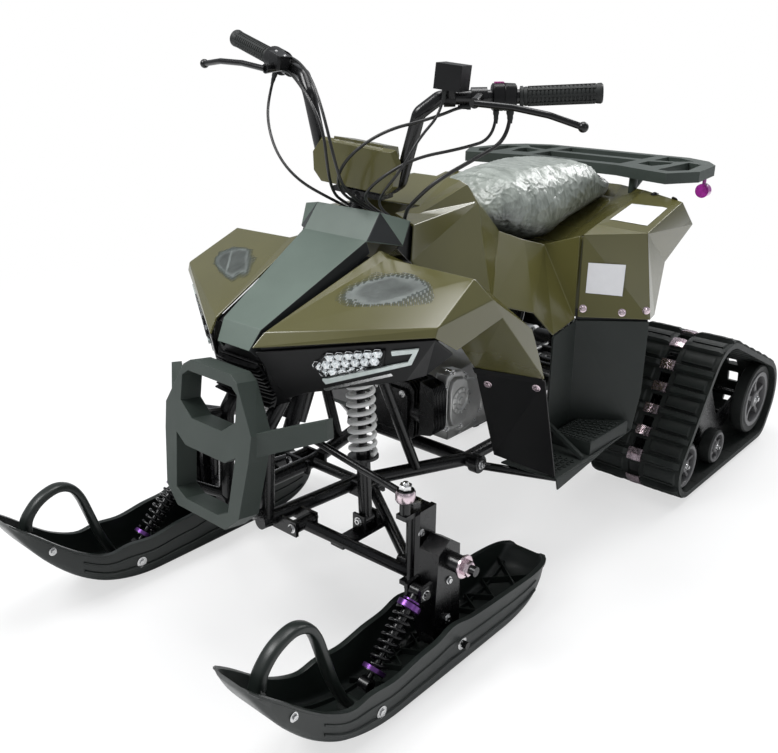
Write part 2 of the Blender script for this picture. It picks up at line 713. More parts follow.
def make_track_running_gear(side):
    sign = SIDES[side]
    rim, tyre, metal, dark = Bag(), Bag(), Bag(), Bag()
    for y, z, radius in ROAD_WHEELS:
        for x, outward in ((TRACK_OUTER - 0.028, 1), (TRACK_INNER + 0.028, -1)):
            spoked_wheel(rim, tyre, metal, Vector((sign * x, y, z)), radius, LEFT * outward * sign)
        dark.lathe(Vector((sign * (TRACK_INNER + 0.014), y, z)), LEFT * sign,
                   [(0.0085, 0), (0.0085, 0.184)], 20)
    y, z, radius = TRACK_WHEELS[3]
    centre = Vector((sign * (TRACK_OUTER - 0.106), y, z))
    for offset in (-0.030, 0.030):
        rings = []
        teeth = 9
        for x in (-0.004, 0.004):
            ring = []
            for i, turn in enumerate(around(teeth * 4)):
                reach = radius - 0.002 if i % 4 in (0, 1) else radius - 0.015
                ring.append(centre + LEFT * (offset + x) + spoke(turn) * reach)
            rings.append(ring)
        dark.loft(rings)
    dark.lathe(centre - LEFT * 0.034, LEFT, [(0.046, 0), (0.046, 0.068), (0.017, 0.068), (0.017, 0)], 40,
               closed=True)
    for turn in around(6):
        at = centre + spoke(turn) * 0.034
        metal.bolt(at + LEFT * sign * 0.034, LEFT * sign, size=4.5, height=4)
    piece = rim.made(f"{side}_track_wheel_rims", "grey_wheel", "root", "wheel_grey", smooth=35, bevel=0.8)
    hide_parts("track_wheels")
    tyre.made(f"{side}_track_wheel_treads", "rubber", "root", "track_rubber")
    metal.made(f"{side}_track_wheel_bolts", "steel", "root", "zinc", smooth=30)
    dark.made(f"{side}_track_sprocket", "frame", "root", "frame_black", smooth=32, bevel=0.5)


for track_side in SIDES:
    make_track(track_side)
    make_track_running_gear(track_side)


# ---- seat ----

SEAT_STATIONS = (  # y, half width, underside and top in mm
    (8, 62, 606.5, 660), (24, 78, 600, 684), (60, 100, 584.6, 700), (117, 112, 567.6, 706),
    (175, 116, 563.6, 708), (242, 118, 582.8, 709), (322, 116, 600.8, 705), (348, 115, 609, 697),
    (370, 113, 615.8, 681), (386, 111, 621, 671), (408, 104, 628.5, 666), (430, 94, 644, 660),
)
SEAT_SWELL_CAP = 0.006
# the corner that each fan of folds is drawn to, its reach and its folds in a turn
FOLD_FANS = ((0.085, 0.020, 0.604, 0.18, 30), (0.118, 0.160, 0.568, 0.17, 34),
             (0.116, 0.330, 0.606, 0.17, 30), (0.100, 0.420, 0.644, 0.14, 26),
             (0.050, 0.006, 0.640, 0.13, 24))
FOLD_LIFT, BROAD_LIFT, FINE_LIFT = 0.0017, 0.0008, 0.0011  # heights of the film's creases


def seat_ring(y, half, low, high):
    """A rounded slice of the seat: flat below, crowned above."""
    ring = []
    middle, rise = (low + high) / 2, (high - low) / 2
    for turn in around(40):
        c, s = math.cos(turn), math.sin(turn)
        ring.append(mm(squared(c, 0.55) * half, y, middle + squared(s, 0.85 if s > 0 else 0.5) * rise))
    return ring


def seat_floor(y):
    """The height of the seat's underside at y, in metres."""
    rows = [(a / 1000, c / 1000) for a, _, c, _ in SEAT_STATIONS]
    for (y0, z0), (y1, z1) in zip(rows, rows[1:]):
        if y <= y1:
            share = min(1.0, max(0.0, (y - y0) / (y1 - y0)))
            return z0 + (z1 - z0) * share
    return rows[-1][1]


def swell(piece):
    """Blows the pad up a little, as foam under a tight cover, and caps how far it moves."""
    rest = [v.co.copy() for v in piece.data.vertices]
    cloth = piece.modifiers.new("cloth", "CLOTH")
    cloth.settings.use_pressure = True
    cloth.settings.uniform_pressure_force = 4
    cloth.settings.effector_weights.gravity = 0
    cloth.settings.quality = 5
    for step in range(1, 21):
        scene.frame_set(step)
    shape = piece.evaluated_get(bpy.context.evaluated_depsgraph_get())
    moved = [v.co.copy() for v in shape.data.vertices]
    piece.modifiers.remove(cloth)
    scene.frame_set(1)
    for vertex, before, after in zip(piece.data.vertices, rest, moved):
        step = after - before
        vertex.co = before + step * min(1.0, SEAT_SWELL_CAP / max(step.length, 1e-9))


def crease(point, normal):
    """How far the film's folds lift a point: fans of folds drawn to the seat's lower corners."""
    lift = 0.0
    for x, y, z, reach, folds in FOLD_FANS:
        for sign in (1, -1):
            away = point - Vector((sign * x, y, z))
            if sign * point.x < -0.01 or away.length > reach:
                continue
            flat = away - normal * away.dot(normal)
            turn = math.atan2(flat.z, flat.y) if abs(normal.x) > 0.5 else math.atan2(flat.x, flat.y)
            wave = math.sin(folds * turn + 3 * noise.noise(point * 16))
            fold = max(0.0, wave) ** 2.2
            fade = (1 - away.length / reach) ** 0.8 * min(1.0, away.length / 0.02)
            lift += FOLD_LIFT * fold * fade
    broad = noise.noise(Vector((point.x * 12, point.y * 6, point.z * 12)))
    fine = 1 - abs(noise.noise(Vector((point.x * 60 + point.y * 25, point.y * 38, point.z * 55))))
    return lift + BROAD_LIFT * broad + FINE_LIFT * fine ** 7


def even_out(work):
    bmesh.ops.smooth_vert(work, verts=work.verts, factor=0.5, use_axis_x=True, use_axis_y=True,
                          use_axis_z=True)


def make_seat():
    bag = Bag()
    bag.loft([seat_ring(y, half - 3, low + 3, high - 5) for y, half, low, high in SEAT_STATIONS])
    seat = bag.made("seat_cushion", "film", None, "seat_vinyl")
    remesh = seat.modifiers.new("remesh", "REMESH")
    remesh.mode = "VOXEL"
    remesh.voxel_size = 0.005
    bpy.context.view_layer.update()
    shape = seat.evaluated_get(bpy.context.evaluated_depsgraph_get())
    mesh = bpy.data.meshes.new_from_object(shape)
    seat.modifiers.clear()
    seat.data = mesh
    swell(seat)
    work = bmesh.new()
    work.from_mesh(seat.data)
    even_out(work)
    bmesh.ops.subdivide_edges(work, edges=work.edges, cuts=1, use_grid_fill=True)
    even_out(work)
    work.normal_update()
    moves = []
    for vertex in work.verts:
        floor = seat_floor(vertex.co.y)
        above = min(1.0, max(0.0, (vertex.co.z - floor - 0.006) / 0.02))
        moves.append(vertex.normal * crease(vertex.co, vertex.normal) * above)
    for vertex, move in zip(work.verts, moves):
        vertex.co += move
        vertex.co.z = max(vertex.co.z, seat_floor(vertex.co.y) + 0.0012)
    work.to_mesh(seat.data)
    work.free()
    low = seat.data.attributes.new("low", "FLOAT", "POINT")
    for i, vertex in enumerate(seat.data.vertices):
        height = vertex.co.z - seat_floor(vertex.co.y)
        ragged = 0.014 * noise.noise(vertex.co * 40)
        low.data[i].value = 1 - min(1.0, max(0.0, (height - 0.020 + ragged) / 0.020))
    seat.data.materials.clear()
    seat.data.materials.append(M["film"])
    seat.data.shade_smooth()
    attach(seat, "root")
    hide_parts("seat")


make_seat()


# ---- cables ----

CABLE_ROUTES = {  # points from the bars down in metres, and the radius in mm
    "left_brake_cable": (((0.1778, -0.2298, 0.8495), (0.166, -0.2406, 0.8491), (0.152, -0.268, 0.838),
                          (0.136, -0.308, 0.828), (0.104, -0.330, 0.818), (0.070, -0.350, 0.798),
                          (0.038, -0.366, 0.768), (0.016, -0.366, 0.734), (0.016, -0.350, 0.708),
                          (0.020, -0.318, 0.690), (0.020, -0.272, 0.668)), 2.5),
    "left_switch_lead": (((0.2079, -0.2037, 0.8442), (0.213, -0.2079, 0.8027), (0.184, -0.262, 0.788),
                          (0.140, -0.314, 0.776), (0.100, -0.344, 0.748), (0.064, -0.352, 0.716),
                          (0.042, -0.318, 0.690), (0.038, -0.270, 0.666)), 2.5),
    "left_lamp_lead": (((0.2242, -0.1888, 0.8447), (0.2293, -0.193, 0.8032), (0.214, -0.262, 0.776),
                        (0.176, -0.308, 0.744), (0.140, -0.316, 0.710), (0.104, -0.300, 0.682),
                        (0.090, -0.284, 0.640)), 3.2),
    "control_box_lead": (((0.1613, -0.2762, 0.8757), (0.1579, -0.2766, 0.8424), (0.150, -0.322, 0.806),
                          (0.134, -0.342, 0.760), (0.102, -0.350, 0.722), (0.064, -0.320, 0.691),
                          (0.049, -0.272, 0.667)), 2.2),
    "throttle_cable": (((-0.1801, -0.2967, 0.9222), (-0.1651, -0.3014, 0.919), (-0.138, -0.310, 0.914),
                        (-0.100, -0.330, 0.908), (-0.056, -0.352, 0.892), (-0.018, -0.370, 0.862),
                        (0.010, -0.380, 0.818), (0.028, -0.382, 0.768), (0.030, -0.364, 0.720),
                        (0.031, -0.318, 0.690), (0.029, -0.270, 0.668)), 2.5),
    "right_brake_cable": (((-0.1547, -0.3153, 0.896), (-0.1397, -0.320, 0.8928), (-0.116, -0.332, 0.888),
                           (-0.076, -0.352, 0.874), (-0.036, -0.364, 0.846), (-0.008, -0.368, 0.804),
                           (-0.006, -0.364, 0.754), (-0.015, -0.344, 0.710), (-0.021, -0.314, 0.688),
                           (-0.022, -0.268, 0.668)), 2.5),
    "throttle_switch_lead": (((-0.2042, -0.2908, 0.8878), (-0.2152, -0.2986, 0.8481), (-0.176, -0.338, 0.806),
                              (-0.136, -0.354, 0.758), (-0.088, -0.352, 0.720), (-0.044, -0.318, 0.690),
                              (-0.040, -0.272, 0.668)), 2.5),
}


def spline_of(route, radius):
    curve = bpy.data.curves.new("route", "CURVE")
    curve.dimensions = "3D"
    curve.bevel_depth = radius / 1000
    curve.bevel_resolution = 4
    curve.use_fill_caps = True
    spline = curve.splines.new("NURBS")
    spline.points.add(len(route) - 1)
    for point, place in zip(spline.points, route):
        point.co = (*place, 1)
    spline.order_u = 3
    spline.use_endpoint_u = True
    spline.resolution_u = 10
    return curve


def make_cables():
    first = True
    for name, (route, radius) in CABLE_ROUTES.items():
        guide = bpy.data.objects.new("guide", spline_of(route, radius))
        scene.collection.objects.link(guide)
        bpy.context.view_layer.update()
        mesh = bpy.data.meshes.new_from_object(guide.evaluated_get(bpy.context.evaluated_depsgraph_get()))
        bpy.data.objects.remove(guide)
        cable = bpy.data.objects.new(name, mesh)
        scene.collection.objects.link(cable)
        mesh.materials.clear()
        mesh.materials.append(M["cable"])
        mesh.shade_smooth()
        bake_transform(cable)
        if first:
            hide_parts("control_cables")
            first = False
        start, second = Vector(route[0]), Vector(route[1])
        along = (second - start).normalized()
        boot = Bag()
        size = radius / 1000
        boot.lathe(start, along, [(size * 1.9, 0), (size * 1.9, 0.005), (size * 1.5, 0.008),
                                  (size * 1.5, 0.012), (size * 1.2, 0.016), (size * 1.05, 0.020)], 18)
        boot.made(f"{name}_boot", "rubber", "steering", "rubber")


make_cables()


# ---- skis ----

SKI_X = 0.297
SKI_SKIN = 9  # thickness of the ski's floor in mm
SKI_BOTTOM = (  # y and z in mm, as in the next table
    (-852, 190), (-828, 148), (-795, 103), (-750, 58), (-700, 26), (-645, 7), (-590, 0), (-450, 0), (-300, 0),
    (-235, 10), (-190, 32), (-163, 62),
)
SKI_TOP = (
    (-852, 200), (-812, 166), (-775, 132), (-735, 101), (-690, 80), (-650, 82), (-600, 76), (-545, 83),
    (-500, 86), (-462, 95), (-415, 86), (-330, 80), (-230, 75), (-160, 74),
)
# y and half width in mm
SKI_HALF = ((-852, 34), (-846, 41), (-828, 47), (-790, 52), (-745, 56), (-700, 60), (-250, 60), (-205, 57),
            (-180, 51), (-166, 43), (-160, 36))


def along(rows, y):
    """A smooth curve through (y, value) rows, read at y; all in mm."""
    i = max(j for j in range(len(rows) - 1) if rows[j][0] <= y or j == 0)
    y0, v0 = rows[i]
    y1, v1 = rows[i + 1]
    before = rows[max(i - 1, 0)]
    after = rows[min(i + 2, len(rows) - 1)]
    slope_in = (v1 - before[1]) / (y1 - before[0])
    slope_out = (after[1] - v0) / (after[0] - y0)
    t = (y - y0) / (y1 - y0)
    span = y1 - y0
    return ((2 * t ** 3 - 3 * t ** 2 + 1) * v0 + (t ** 3 - 2 * t ** 2 + t) * span * slope_in
            + (3 * t ** 2 - 2 * t ** 3) * v1 + (t ** 3 - t ** 2) * span * slope_out)


def ski_section(y, centre):
    """The U-shaped slice of a ski at y: rounded chines, leaning walls and a rolled lip."""
    low = max(0.0, along(SKI_BOTTOM, y))
    top = max(along(SKI_TOP, y), low + SKI_SKIN)
    half = along(SKI_HALF, y)
    floor = min(low + SKI_SKIN, top - 1.5)
    closing = min(1.0, max(0.0, (y + 192) / 26))
    floor += (top - 3 - floor) * closing ** 2
    deep = top - low
    chine = min(14.0, deep * 0.5)
    outer = [(half, top), (half, top - min(4.0, deep * 0.3)), (half - 3.5, top - min(6.0, deep * 0.4)),
             (half - 5, low + chine), (half - 7.5, low + chine * 0.35), (half - 13, low)]
    inner = [(half - 16, floor), (half - 12.5, floor + min(3.0, (top - floor) * 0.3)),
             (half - 10.5, floor + min(9.0, (top - floor) * 0.6)), (half - 9.5, top - 0.4), (half - 8.5, top)]
    ring = [(x, z) for x, z in outer] + [(-x, z) for x, z in reversed(outer)]
    ring += [(-x, z) for x, z in reversed(inner)] + [(x, z) for x, z in inner]
    return [Vector((centre + x / 1000, y / 1000, z / 1000)) for x, z in ring]


def ski_floor(y):
    """The height of the ski's floor at y, in mm."""
    return max(SKI_SKIN, along(SKI_BOTTOM, y) + SKI_SKIN)


def make_ski(side):
    centre = SIDES[side] * SKI_X
    shell = Bag()
    stations = [-851.5 + 690 * i / 70 for i in range(71)]
    shell.loft([ski_section(y, centre) for y in stations])
    for y in range(-590, -190, 50):
        for lean in (1, -1):
            a = Vector((centre - lean * 0.044, y / 1000, ski_floor(y) / 1000))
            b = Vector((centre + lean * 0.044, (y + 50) / 1000, ski_floor(min(y + 50, -166)) / 1000))
            across = (b - a).cross(UP).normalized()
            shell.loft([rib_slice(p, across, 0.0016, 0.00112, 0.010) for p in (a, b)])
    for x in (-0.030, 0.030):
        path = [Vector((centre + x, y / 1000, ski_floor(y) / 1000)) for y in range(-770, -180, 20)]
        shell.loft([rib_slice(p, LEFT, 0.002, 0.0012, 0.007) for p in path])
    for out in (-LEFT, LEFT):
        for level in (0.30, 0.62):
            rings = []
            for y in range(-740, -200, 15):
                low, top = max(0.0, along(SKI_BOTTOM, y)), along(SKI_TOP, y)
                half = along(SKI_HALF, y) / 1000 - 0.0045
                height = (low + (top - low) * level) / 1000
                p = Vector((centre, y / 1000, height)) + out * half
                rings.append([p - UP * 0.0028, p + out * 0.0022 - UP * 0.0010, p + out * 0.0022 + UP * 0.0010,
                              p + UP * 0.0028])
            shell.loft(rings)
    body = f"{side}_ski_leg"
    ski = shell.made(f"{side}_ski_moulding", "ski", body, "ski_plastic", smooth=42)
    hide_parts(f"{side}_ski")
    metal = Bag()
    for y, z, size in ((-0.628, 0.034, 6.0), (-0.435, 0.046, 6.5), (-0.790, 0.128, 4.5)):
        half = along(SKI_HALF, y * 1000) / 1000 - 0.0046
        for out in (1, -1):
            place = Vector((centre + out * half, y, z))
            metal.lathe(place, LEFT * out, [(size * 0.0017, 0), (size * 0.0017, 0.0012),
                                            (size * 0.0013, 0.0016)], 24)
            metal.bolt(place + LEFT * out * 0.001, LEFT * out, size=size, height=min(size, 3.4))
    metal.made(f"{side}_ski_bolts", "steel", body, "zinc", smooth=30)


PATH_STEPS = 6


def smooth_path(points):
    """A Catmull-Rom curve through points."""
    path = []
    for i in range(len(points) - 1):
        a, b = points[i], points[i + 1]
        before, after = points[max(i - 1, 0)], points[min(i + 2, len(points) - 1)]
        for k in range(PATH_STEPS):
            t = k / PATH_STEPS
            path.append(0.5 * (2 * a + (b - before) * t + (2 * before - 5 * a + 4 * b - after) * t * t
                               + (3 * a - before - 3 * b + after) * t ** 3))
    return path + [points[-1]]


def make_ski_loop(side):
    centre = SIDES[side] * SKI_X
    corners = ((-810, 158), (-803, 180), (-780, 203), (-748, 214), (-722, 206), (-705, 183), (-691, 142),
               (-676, 95), (-655, 48), (-640, 26))
    path = smooth_path([Vector((centre, y / 1000, z / 1000)) for y, z in corners])
    strap = Bag()
    rings = []
    for i, point in enumerate(path):
        ahead = path[min(i + 1, len(path) - 1)] - path[max(i - 1, 0)]
        out = ahead.cross(LEFT).normalized()
        share = i / (len(path) - 1)
        thick = 0.0075 if share > 0.15 else 0.0075 + 0.003 * (0.15 - share) / 0.15
        wide = 0.012
        rings.append([point + LEFT * wide * squared(math.cos(a), 0.7)
                      + out * thick * squared(math.sin(a), 0.7) for a in around(16)])
    strap.loft(rings)
    for low, high, rise in ((-818, -800, 30), (-652, -622, 16)):
        rings = []
        for share, narrow in ((0, 0), (0.12, 0), (0.55, 2), (0.9, 4), (1, 6)):
            y0, y1 = low + narrow, high - narrow
            wide = 0.0138 - narrow / 2000
            ring = []
            for x, y in ((-wide, y0), (wide, y0), (wide, y1), (-wide, y1)):
                foot = max(SKI_SKIN, along(SKI_BOTTOM, y) + SKI_SKIN + 0.3)
                ring.append(Vector((centre + x, y / 1000, (foot + rise * share) / 1000)))
            rings.append(ring)
        strap.loft(rings)
    loop = strap.made(f"{side}_ski_loop_strap", "ski", f"{side}_ski_leg", "frame_black", smooth=40, bevel=0.8)
    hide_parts(f"{side}_ski_loop")


def make_leg_trim(side):
    """Coloured collars, plated washers and nuts on one ski leg and its tie rod."""
    sign = SIDES[side]
    leg, rod = f"{side}_ski_leg", f"{side}_tie_rod"
    foot, head = Vector((sign * SKI_X, -0.600, 0.036)), Vector((sign * SKI_X, -0.482, 0.142))
    line = head - foot
    collars = Bag()
    for low, high, radius in ((0.125, 0.175, 0.0196), (0.80, 0.865, 0.0196), (0.875, 0.90, 0.0145)):
        collars.collar(foot + line * low, line, radius, 0.0085, line.length * (high - low))
    collars.made(f"{side}_ski_shock_collars", "purple", leg, "zinc")
    plated = Bag()
    stub = Vector((sign * 0.3502, -0.435, 0.187))
    out = LEFT * sign
    plated.lathe(stub, out, [(0.0195, 0), (0.0195, 0.0025), (0.0183, 0.0034), (0.0085, 0.0034),
                             (0.0085, 0)], 36, closed=True)
    plated.lathe(stub + out * 0.0034, out, [(0.0128, 0), (0.0128, 0.009), (0.0112, 0.0105),
                                            (0.0075, 0.0105)], 6)
    plated.made(f"{side}_stub_washer", "zinc", leg, "zinc", smooth=30)
    joint = Bag()
    centre = Vector((sign * 0.262, -0.473, 0.294))
    joint.lathe(centre - UP * 0.0098, UP, [(0.0135, 0), (0.0158, 0.003), (0.0158, 0.0166), (0.0135, 0.0196),
                                           (0.0095, 0.0196), (0.0095, 0)], 32, closed=True)
    joint.made(f"{side}_tie_rod_eye", "zinc", rod, "zinc")
    nuts = Bag()
    nuts.lathe(centre + UP * 0.0115, UP, [(0.0105, 0), (0.0105, 0.0065), (0.0095, 0.0075),
                                          (0.005, 0.0075)], 6)
    nuts.lathe(centre + UP * 0.0180, UP, [(0.0052, 0), (0.0052, 0.004), (0.004, 0.005)], 16)
    for place, direction, size in (
            (Vector((sign * (SKI_X + 0.0170), -0.482, 0.142)), out, 6.5),
            (Vector((sign * (SKI_X - 0.0170), -0.482, 0.142)), -out, 6.5),
            (Vector((sign * 0.3225, -0.435, 0.078)), out, 6.0),
            (Vector((sign * 0.3225, -0.435, 0.150)), out, 5.0),
            (Vector((sign * 0.278, -0.452, 0.225)), out, 5.0),
            (Vector((sign * 0.278, -0.420, 0.140)), out, 5.0)):
        nuts.bolt(place, direction, size=size, height=4.5)
    nuts.lathe(Vector((sign * 0.250, -0.435, 0.262)), UP,
               [(0.012, 0), (0.012, 0.005), (0.010, 0.0058), (0.010, 0.006), (0.004, 0.006)], 6)
    nuts.made(f"{side}_leg_nuts", "steel", leg, "zinc", smooth=30)


for ski_side in SIDES:
    make_ski(ski_side)
    make_ski_loop(ski_side)
    make_leg_trim(ski_side)


# ---- engine ----


def make_engine():
    """Crankcase with a finned cylinder that points forward, and covers with their screws."""
    case, fins, metal = Bag(), Bag(), Bag()
    profile = [(-120, 206), (60, 206), (68, 224), (68, 290), (40, 340), (-20, 352), (-80, 346), (-122, 318)]
    case.loft([[mm(x, y, z) for y, z in profile] for x in (-74, -60, 60, 74)])
    for x0, x1, radius, y, z in ((60, 76, 58, -66, 268), (60, 75.5, 40, 22, 256)):
        case.lathe(mm(x0, y, z), LEFT, [(radius / 1000, 0), (radius / 1000, (x1 - x0 - 5) / 1000),
                                        ((radius - 5) / 1000, (x1 - x0) / 1000)], 40)
        for turn in around(7):
            metal.bolt(mm(x1 - 5, y, z) + spoke(turn) * (radius + 1) / 1000, LEFT, size=3.6, height=4)
    piece = case.made("engine_crankcase", "cast", "root", "cast_silver", smooth=32, bevel=2.5)
    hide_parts("engine")
    for i in range(10):
        y = -206 + i * 8.6
        half, low, high = 57, 226, 344
        if i > 6:
            half, low, high = 50, 234, 336
        ring = [(-half, low + 12), (-half + 12, low), (half - 12, low), (half, low + 12), (half, high - 12),
                (half - 12, high), (-half + 12, high), (-half, high - 12)]
        fins.loft([[mm(x, y + step, z) for x, z in ring] for step in (0, 2.4)])
    fins.loft([[mm(x, y, z) for x, z in ((-40, 244), (40, 244), (46, 262), (46, 318), (40, 330), (-40, 330),
                                         (-46, 318), (-46, 262))] for y in (-213, -118)])
    fins.lathe(mm(44, -186, 286), LEFT, [(0.022, 0), (0.022, 0.026), (0.018, 0.031), (0.006, 0.031)], 28)
    fins.made("engine_cylinder", "frame", "root", "frame_black", smooth=30, bevel=0.5)
    for x in (-34, 34):
        for z in (252, 322):
            metal.bolt(mm(x, -213, z), AHEAD, size=5, height=2)
    metal.made("engine_screws", "steel", "root", "zinc", smooth=30)


def make_engine_cover():
    cover, metal = Bag(), Bag()
    outline = [(-164, 250), (-156, 244), (-118, 243), (-106, 250), (-96, 290), (-96, 308), (-106, 350),
               (-118, 362), (-150, 368), (-164, 362), (-172, 340), (-172, 270)]
    middle_y, middle_z = -134, 305

    def shrunk(x, share):
        return [mm(x, middle_y + (y - middle_y) * share, middle_z + (z - middle_z) * share)
                for y, z in outline]

    cover.loft([shrunk(76.5, 1.0), shrunk(98, 1.0), shrunk(103, 0.95), shrunk(103.5, 0.80), shrunk(108, 0.78),
                shrunk(112, 0.74)])
    centre = mm(104, -134, 306)
    cover.lathe(centre, LEFT, [(0.028, 0), (0.028, 0.007), (0.026, 0.0105), (0.018, 0.0115), (0.016, 0.009),
                               (0.008, 0.009), (0.007, 0.0125)], 44)
    for turn in around(12):
        ray = spoke(turn)
        cross = LEFT.cross(ray)
        cover.box(centre + ray * 0.0220 + LEFT * 0.0112, ray * 0.0035, cross * 0.0011, LEFT * 0.0016)
    for y, z in outline[::2] + [outline[5]]:
        at = mm(98, middle_y + (y - middle_y) * 0.93, middle_z + (z - middle_z) * 0.93)
        metal.lathe(at, LEFT, [(0.0065, -0.010), (0.0065, 0.0045), (0.0058, 0.0055)], 18)
        metal.bolt(at + LEFT * 0.0052, LEFT, size=3.4, height=4)
    piece = cover.made("engine_side_cover", "cast", "root", "cast_silver", smooth=35, bevel=1.2)
    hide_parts("engine_cover")
    shroud = Bag()
    fin = ((76.5, 250), (104, 256), (110, 268), (110, 336), (104, 350), (76.5, 358))
    for i in range(9):
        y = -213 + i * 4.6
        shroud.loft([[mm(x, y + step, z) for x, z in fin] for step in (0, 1.8)])
    shroud.loft([[mm(x, y, z) for x, z in ((76.5, 256), (100, 262), (102, 340), (76.5, 350))]
                 for y in (-212, -173)])
    shroud.made("engine_shroud", "frame", "root", "frame_black", smooth=30)
    metal.made("engine_cover_screws", "steel", "root", "zinc", smooth=30)


make_engine()
make_engine_cover()


# ---- lamps and grille ----

LAMP_NORMAL = Vector((0.536, -0.825, -0.178)).normalized()
LAMP_POINT = mm(52, -581, 503)
LENS = ((125, -531, 485), (141, -525, 508), (222, -476, 522), (216, -474, 495), (138, -519, 470))
STRIP = ((134, -521, 466), (138, -517, 458), (252, -452, 500), (264, -450, 527), (228, -471, 520),
         (229, -470, 513), (255, -454, 519), (247, -455, 504))


def on_lamp(point, lift):
    point = mm(*point)
    return point - LAMP_NORMAL * ((point - LAMP_POINT).dot(LAMP_NORMAL) - lift / 1000)


def flipped(points, sign):
    return list(points) if sign > 0 else [mirrored(p) for p in reversed(points)]


def scaled(points, share):
    centre = sum(points, Vector()) / len(points)
    return [centre + (p - centre) * share for p in points]


def inside(outline, point, normal):
    """Whether a point in the outline's plane lies within it."""
    across, up = frame_of(normal)
    turn = 0.0
    for a, b in zip(outline, outline[1:] + outline[:1]):
        a, b = a - point, b - point
        p, q = (a.dot(across), a.dot(up)), (b.dot(across), b.dot(up))
        turn += math.atan2(p[0] * q[1] - p[1] * q[0], p[0] * q[0] + p[1] * q[1])
    return abs(turn) > 3


CELL = 0.0082  # radius of one lamp cell


def make_lamp(side):
    sign = SIDES[side]
    normal = LAMP_NORMAL if sign > 0 else mirrored(LAMP_NORMAL)
    rim, cells, cover, strip = Bag(), Bag(), Bag(), Bag()
    outline = flipped([on_lamp(p, 0.4) for p in LENS], sign)
    rings = [outline]
    for share, lift in ((0.995, 0.0045), (0.93, 0.0045), (0.92, 0.001)):
        rings.append([p + normal * lift for p in scaled(outline, share)])
    rim.loft(rings)
    centre = sum(outline, Vector()) / len(outline)
    along_lamp = flipped([on_lamp(LENS[2], 0), on_lamp(LENS[1], 0)], sign)
    right = (along_lamp[1] - along_lamp[0]).normalized()
    up = normal.cross(right).normalized()
    if up.z < 0:
        up = -up
    inner = scaled(outline, 0.93)
    for row in range(-2, 3):
        for column in range(-5, 6):
            at = centre + right * CELL * (column * 1.78 + (row % 2) * 0.89) + up * row * CELL * 1.54
            if not inside(inner, at, normal):
                continue
            cells.lathe(at + normal * 0.0006, normal, [(CELL * share, height) for share, height in (
                (0.97, 0.0), (0.97, 0.0034), (0.90, 0.0034), (0.55, 0.0012), (0.30, 0.0006), (0.22, 0.0026),
                (0.12, 0.0030))], 6)
    front = [p + normal * 0.0047 for p in scaled(outline, 0.94)]
    cover.loft([front, [p + normal * 0.0010 for p in scaled(front, 0.99)]])
    piece = rim.made(f"{side}_lamp_bezel", "black", "root", "black_plastic", smooth=30, bevel=0.5)
    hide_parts("headlights")
    cells.made(f"{side}_lamp_cells", "chrome", "root", "lens", smooth=20)
    cover.made(f"{side}_lamp_lens", "lens", "root", "lens", smooth=30, bevel=0.4)
    outline = flipped([on_lamp(p, 0.4) for p in STRIP], sign)
    strip.slab(outline, normal * 0.0050)
    strip.made(f"{side}_light_strip", "strip", "root", "lens", smooth=30, bevel=0.8)
    line_corners = ((132, -516, 449), (135, -514, 445), (226, -464, 478), (224, -466, 482))
    glow = flipped([on_lamp(p, 0.4) for p in line_corners], sign)
    line = Bag()
    line.slab(glow, normal * 0.0012)
    line.made(f"{side}_lamp_line", "steel", "root", "zinc", smooth=30)


def make_grille():
    slats = Bag()
    corners = [mm(44, -571, 480), mm(66, -552, 432), mm(66, -562, 412)]
    for i in range(11):
        share = (i + 0.5) / 11
        if share < 0.7:
            edge = corners[0].lerp(corners[1], share / 0.7)
        else:
            edge = corners[1].lerp(corners[2], (share - 0.7) / 0.3)
        rings = []
        for k in range(9):
            x = edge.x * (-1 + 2 * k / 8)
            bow = AHEAD * 0.004 * (1 - (k / 4 - 1) ** 2)
            p = Vector((x, edge.y, edge.z)) + bow
            rings.append([p + UP * 0.0013, p + AHEAD * 0.0085 - UP * 0.0006, p + AHEAD * 0.0085 - UP * 0.0026,
                          p - UP * 0.0016])
        slats.loft(rings)
    for x in (-0.030, -0.010, 0.010, 0.030):
        top, low = mm(0, -573, 478), mm(0, -556, 430)
        slats.box(Vector((x, 0, 0)) + (top + low) / 2 + AHEAD * 0.004, LEFT * 0.001, AHEAD * 0.003,
                  (top - low) / 2)
    slats.made("grille_slats", "black", "root", "black_plastic", smooth=30)


for lamp_side in SIDES:
    make_lamp(lamp_side)
make_grille()


# ---- panel prints, labels and fasteners ----


RAY_DROP = 0.05  # how far off the panels a ray starts
SCREW_DROP = 0.04


def patch(name, node, corners, finish, slot, out, cells):
    """A thin sheet dropped onto a CAD node between four corners in mm."""
    a, b, c, d = (mm(*p) for p in corners)
    out = Vector(out).normalized()
    points, faces = [], []
    for i in range(cells + 1):
        for k in range(cells + 1):
            u, v = i / cells, k / cells
            seat, normal = hit(node, a.lerp(b, u).lerp(d.lerp(c, u), v) + out * RAY_DROP, -out)
            points.append(seat + normal * 0.0007)
    for i in range(cells):
        for k in range(cells):
            at = i * (cells + 1) + k
            faces.append((at, at + cells + 1, at + cells + 2, at + 1))
    bag = Bag()
    bag.add(points, faces)
    return bag.made(name, finish, "root", slot)


